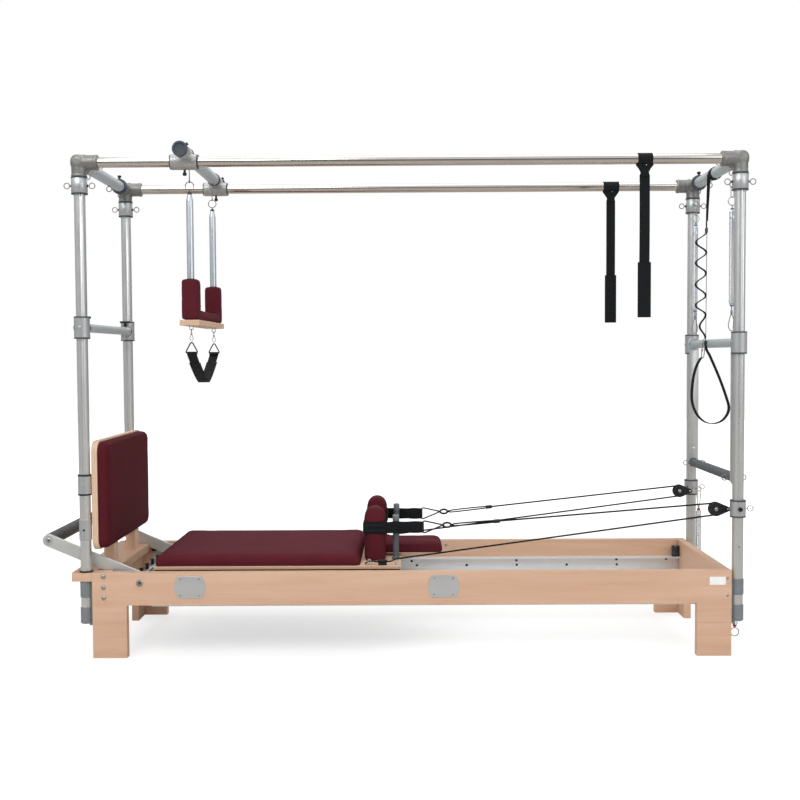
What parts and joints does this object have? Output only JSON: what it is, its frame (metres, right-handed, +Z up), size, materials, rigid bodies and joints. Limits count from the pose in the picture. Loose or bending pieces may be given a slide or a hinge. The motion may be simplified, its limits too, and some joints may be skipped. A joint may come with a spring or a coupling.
{
  "type": "pilates combo reformer",
  "caption": "Wooden pilates reformer with a rolling carriage, jumpboard and footbar under a four-post tower with trapeze, straps and hanging springs.",
  "frame": {"origin": "on the floor, under the middle of the whole object's box", "axes": "+X from the foot end to the head end, +Y from the near side rail to the far one, +Z up"},
  "size_m": [2.7592, 0.84, 1.9518],
  "materials": {
    "beech": "clear lacquer, satin",
    "plywood": "clear lacquer, satin",
    "maroon_upholstery": "fine-grained vinyl, satin",
    "anodised_aluminium": "light anodised, satin",
    "cast_alloy": "cast, satin grey",
    "stainless_tube": "polished",
    "spring_steel": "bright",
    "grey_paint": "satin",
    "dark_plastic": "satin",
    "black_metal": "satin",
    "webbing": "woven, matt"
  },
  "bodies": {
    "frame": {"near_side_rail": "beech", "far_side_rail": "beech", "head_end_board": "beech", "foot_platform": "beech", "near_track": "anodised_aluminium", "far_track": "anodised_aluminium", "spring_bar": "anodised_aluminium", "foot_near_post": "anodised_aluminium", "foot_far_post": "anodised_aluminium", "head_near_post": "anodised_aluminium", "head_far_post": "anodised_aluminium", "foot_near_corner_fitting": "cast_alloy", "foot_far_corner_fitting": "cast_alloy", "head_near_corner_fitting": "cast_alloy", "head_far_corner_fitting": "cast_alloy", "near_top_rail": "stainless_tube", "far_top_rail": "stainless_tube", "foot_top_cross_tube": "grey_paint", "head_top_cross_tube": "grey_paint", "head_cross_tube": "grey_paint", "near_pulley_block": "black_metal", "far_pulley_block": "black_metal", "near_rope": "webbing", "far_rope": "webbing", "carriage_springs": "spring_steel"},
    "carriage": {"carriage_platform": "plywood", "carriage_frame": "grey_paint", "carriage_mat": "maroon_upholstery", "near_shoulder_rest": "maroon_upholstery", "far_shoulder_rest": "maroon_upholstery", "near_rope_post": "dark_plastic", "far_rope_post": "dark_plastic", "near_foot_loop": "webbing", "far_foot_loop": "webbing"},
    "foot_near_wheel": {"foot_near_wheel": "dark_plastic"},
    "foot_far_wheel": {"foot_far_wheel": "dark_plastic"},
    "head_near_wheel": {"head_near_wheel": "dark_plastic"},
    "head_far_wheel": {"head_far_wheel": "dark_plastic"},
    "headrest": {"headrest_pad": "maroon_upholstery"},
    "footbar": {"footbar": "anodised_aluminium"},
    "jumpboard": {"jumpboard_panel": "plywood", "jumpboard_pad": "maroon_upholstery"},
    "carrier": {"trapeze_carrier": "cast_alloy"},
    "trapeze": {"near_trapeze_tube": "spring_steel", "far_trapeze_tube": "spring_steel", "trapeze_board": "plywood", "trapeze_pad": "maroon_upholstery"},
    "sling": {"trapeze_sling": "webbing"},
    "foot_bar": {"foot_cross_bar": "grey_paint"},
    "push_through": {"push_through_bar": "anodised_aluminium"},
    "near_sheave": {"near_sheave": "dark_plastic"},
    "far_sheave": {"far_sheave": "dark_plastic"},
    "near_strap": {"near_hanging_strap": "webbing"},
    "far_strap": {"far_hanging_strap": "webbing"},
    "near_upper_spring": {"near_upper_arm_spring": "spring_steel"},
    "far_upper_spring": {"far_upper_arm_spring": "spring_steel"},
    "near_lower_spring": {"near_lower_arm_spring": "spring_steel"},
    "far_lower_spring": {"far_lower_arm_spring": "spring_steel"},
    "daisy": {"daisy_strap": "webbing"}
  },
  "joints": [
    {"name": "carriage_slide", "type": "slide", "parent": "frame", "child": "carriage", "axis": [1, 0, 0], "range_m": [0, 1], "stiffness_N_per_m": 200, "springref_m": -0.05, "deforming": ["near_rope", "far_rope", "carriage_springs"]},
    {"name": "foot_near_wheel_spin", "type": "hinge", "parent": "carriage", "child": "foot_near_wheel", "pos_m": [-0.88067, -0.3065, 0.2803], "axis": [0, 1, 0], "continuous": true},
    {"name": "foot_far_wheel_spin", "type": "hinge", "parent": "carriage", "child": "foot_far_wheel", "pos_m": [-0.88067, 0.3065, 0.2803], "axis": [0, 1, 0], "continuous": true},
    {"name": "head_near_wheel_spin", "type": "hinge", "parent": "carriage", "child": "head_near_wheel", "pos_m": [-0.07067, -0.3065, 0.2803], "axis": [0, 1, 0], "continuous": true},
    {"name": "head_far_wheel_spin", "type": "hinge", "parent": "carriage", "child": "head_far_wheel", "pos_m": [-0.07067, 0.3065, 0.2803], "axis": [0, 1, 0], "continuous": true},
    {"name": "headrest_tilt", "type": "hinge", "parent": "carriage", "child": "headrest", "pos_m": [-0.13667, 0, 0.385], "axis": [0, -1, 0], "range_deg": [0, 30]},
    {"name": "footbar_fold", "type": "hinge", "parent": "frame", "child": "footbar", "pos_m": [-0.98867, 0, 0.2897], "axis": [0, 1, 0], "range_deg": [0, 3]},
    {"name": "jumpboard_lift", "type": "slide", "parent": "frame", "child": "jumpboard", "axis": [0, 0, 1], "range_m": [0, 0.15]},
    {"name": "carrier_slide", "type": "slide", "parent": "frame", "child": "carrier", "axis": [1, 0, 0], "range_m": [-0.25, 1.55]},
    {"name": "trapeze_swing", "type": "hinge", "parent": "carrier", "child": "trapeze", "pos_m": [-0.80017, 0, 1.8275], "axis": [0, 1, 0], "range_deg": [-20, 20]},
    {"name": "sling_swing", "type": "hinge", "parent": "trapeze", "child": "sling", "pos_m": [-0.80017, 0, 1.2568], "axis": [0, 1, 0], "range_deg": [-20, 20]},
    {"name": "foot_bar_height", "type": "slide", "parent": "frame", "child": "foot_bar", "axis": [0, 0, 1], "range_m": [-0.35, 0.4]},
    {"name": "push_through_swing", "type": "hinge", "parent": "frame", "child": "push_through", "pos_m": [1.29733, 0, 1.194], "axis": [0, 1, 0], "range_deg": [-90, 90]},
    {"name": "near_sheave_spin", "type": "hinge", "parent": "frame", "child": "near_sheave", "pos_m": [1.22933, -0.277, 0.552], "axis": [0, 1, 0], "continuous": true},
    {"name": "far_sheave_spin", "type": "hinge", "parent": "frame", "child": "far_sheave", "pos_m": [1.22933, 0.277, 0.552], "axis": [0, 1, 0], "continuous": true},
    {"name": "near_strap_swing", "type": "hinge", "parent": "frame", "child": "near_strap", "pos_m": [0.93733, -0.335, 1.887], "axis": [1, 0, 0], "range_deg": [-20, 20]},
    {"name": "far_strap_swing", "type": "hinge", "parent": "frame", "child": "far_strap", "pos_m": [0.93733, 0.335, 1.887], "axis": [1, 0, 0], "range_deg": [-20, 20]},
    {"name": "near_upper_spring_swing", "type": "hinge", "parent": "frame", "child": "near_upper_spring", "pos_m": [1.29033, -0.262, 1.79375], "axis": [0, 1, 0], "range_deg": [-15, 15]},
    {"name": "far_upper_spring_swing", "type": "hinge", "parent": "frame", "child": "far_upper_spring", "pos_m": [1.29033, 0.262, 1.79375], "axis": [0, 1, 0], "range_deg": [-15, 15]},
    {"name": "near_lower_spring_swing", "type": "hinge", "parent": "frame", "child": "near_lower_spring", "pos_m": [1.31133, -0.262, 0.55545], "axis": [0, 1, 0], "range_deg": [-15, 2]},
    {"name": "far_lower_spring_swing", "type": "hinge", "parent": "frame", "child": "far_lower_spring", "pos_m": [1.31133, 0.262, 0.55545], "axis": [0, 1, 0], "range_deg": [-15, 2]},
    {"name": "daisy_swing", "type": "hinge", "parent": "frame", "child": "daisy", "pos_m": [1.29733, 0.045, 1.887], "axis": [0, 1, 0], "range_deg": [0, 10]}
  ],
  "couplings": [
    {"joint": "foot_near_wheel_spin", "follows": "carriage_slide", "rad_per_m": 43.478},
    {"joint": "foot_far_wheel_spin", "follows": "carriage_slide", "rad_per_m": 43.478},
    {"joint": "head_near_wheel_spin", "follows": "carriage_slide", "rad_per_m": 43.478},
    {"joint": "head_far_wheel_spin", "follows": "carriage_slide", "rad_per_m": 43.478}
  ]
}
